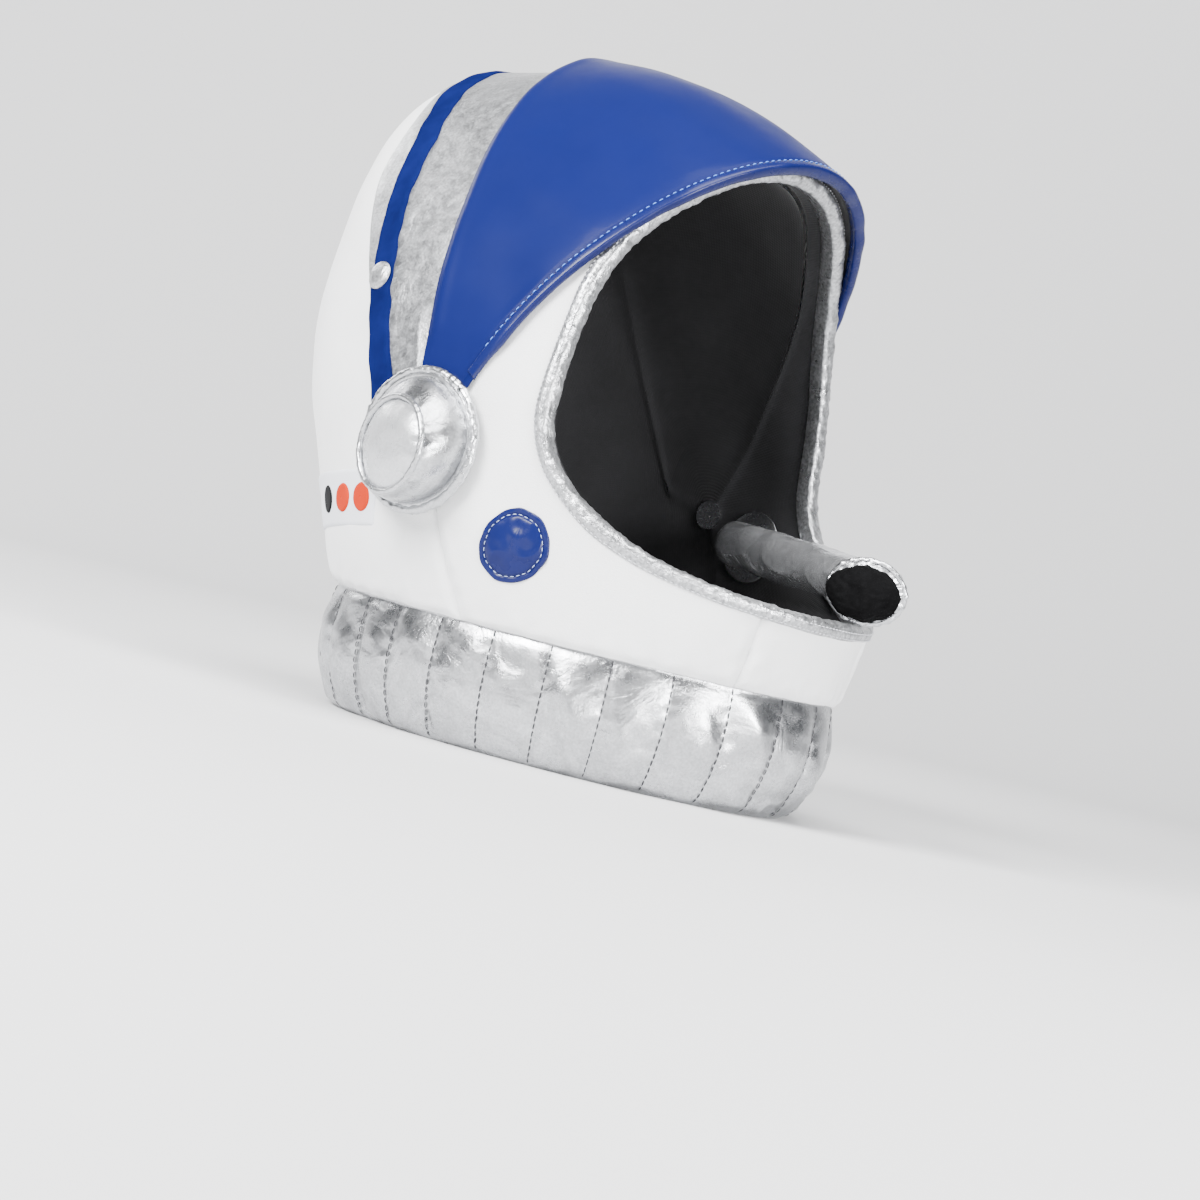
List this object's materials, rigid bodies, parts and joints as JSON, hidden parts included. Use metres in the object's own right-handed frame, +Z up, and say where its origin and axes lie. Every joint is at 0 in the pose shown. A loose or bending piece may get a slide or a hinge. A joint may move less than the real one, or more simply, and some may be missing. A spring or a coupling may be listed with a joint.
{
  "type": "soft astronaut costume helmet",
  "caption": "Padded fabric astronaut helmet: white hood, silver quilted neck collar, hinged blue visor, silver ear pods and a bendable toy microphone boom.",
  "frame": {"origin": "centre of the neck opening, in the plane of the collar's bottom edge, on which the helmet stands", "axes": "+Z up, +X the way the face looks, +Y to the wearer's left"},
  "size_m": [0.2846, 0.2478, 0.2805],
  "materials": {
    "white_velour": "matt brushed velour",
    "silver_lame": "crinkled metallic lame cloth, glossy",
    "blue_vinyl": "glossy coated vinyl",
    "black_lining": "matt knitted lining",
    "foam": "open cell foam",
    "batting": "loose polyester batting",
    "black_felt": "matt felt over a soft ball",
    "steel_wire": "drawn wire",
    "rivet_metal": "polished nickel plate",
    "pale_cloth": "smooth woven cloth",
    "orange_vinyl": "matt coated vinyl",
    "black_vinyl": "matt coated vinyl"
  },
  "bodies": {
    "hood": {"cover_crown": "white_velour", "cover_chin": "white_velour", "cover_cheek_left": "white_velour", "cover_cheek_right": "white_velour", "cover_back_left": "white_velour", "cover_back_right": "white_velour", "foam_crown": "foam", "foam_chin": "foam", "foam_cheek_left": "foam", "foam_cheek_right": "foam", "foam_back_left": "foam", "foam_back_right": "foam", "head_lining": "black_lining", "collar_lining": "black_lining", "face_binding": "silver_lame", "crown_band": "silver_lame", "collar_quilt": "silver_lame", "pod_flange_left": "silver_lame", "pod_flange_right": "silver_lame", "pod_flange_piping_left": "silver_lame", "pod_flange_piping_right": "silver_lame", "pod_drum_left": "silver_lame", "pod_drum_right": "silver_lame", "pod_cap_left": "silver_lame", "pod_cap_right": "silver_lame", "pod_cap_piping_left": "silver_lame", "pod_cap_piping_right": "silver_lame", "mic_root_pad": "silver_lame", "crown_stripe": "blue_vinyl", "cheek_patch_left": "blue_vinyl", "cheek_patch_right": "blue_vinyl", "collar_batting": "batting", "pod_stuffing_left": "batting", "pod_stuffing_right": "batting", "band_studs": "rivet_metal", "pivot_rivet_left": "rivet_metal", "pivot_rivet_right": "rivet_metal", "pivot_washer_left": "rivet_metal", "pivot_washer_right": "rivet_metal", "rear_patch": "pale_cloth", "patch_dots_orange": "orange_vinyl", "patch_dot_black": "black_vinyl"},
    "visor": {"visor_foam": "foam", "visor_lining": "black_lining", "visor_cover": "blue_vinyl", "visor_edge_binding": "blue_vinyl", "visor_grommets": "rivet_metal"},
    "microphone": {"mic_sleeve": "silver_lame", "mic_cup": "silver_lame", "mic_cup_piping": "silver_lame", "mic_stuffing": "batting", "mic_cup_filling": "batting", "mic_pad": "black_felt", "mic_wire": "steel_wire"}
  },
  "joints": [
    {"name": "visor_pivot", "type": "hinge", "parent": "hood", "child": "visor", "pos_m": [-0.0217, 0, 0.11], "axis": [0, 1, 0], "range_deg": [0, 55]},
    {"name": "microphone_root", "type": "hinge", "parent": "hood", "child": "microphone", "pos_m": [0.0043, 0.0855, 0.101], "axis": [0, -1, 0], "range_deg": [0, 30]}
  ]
}
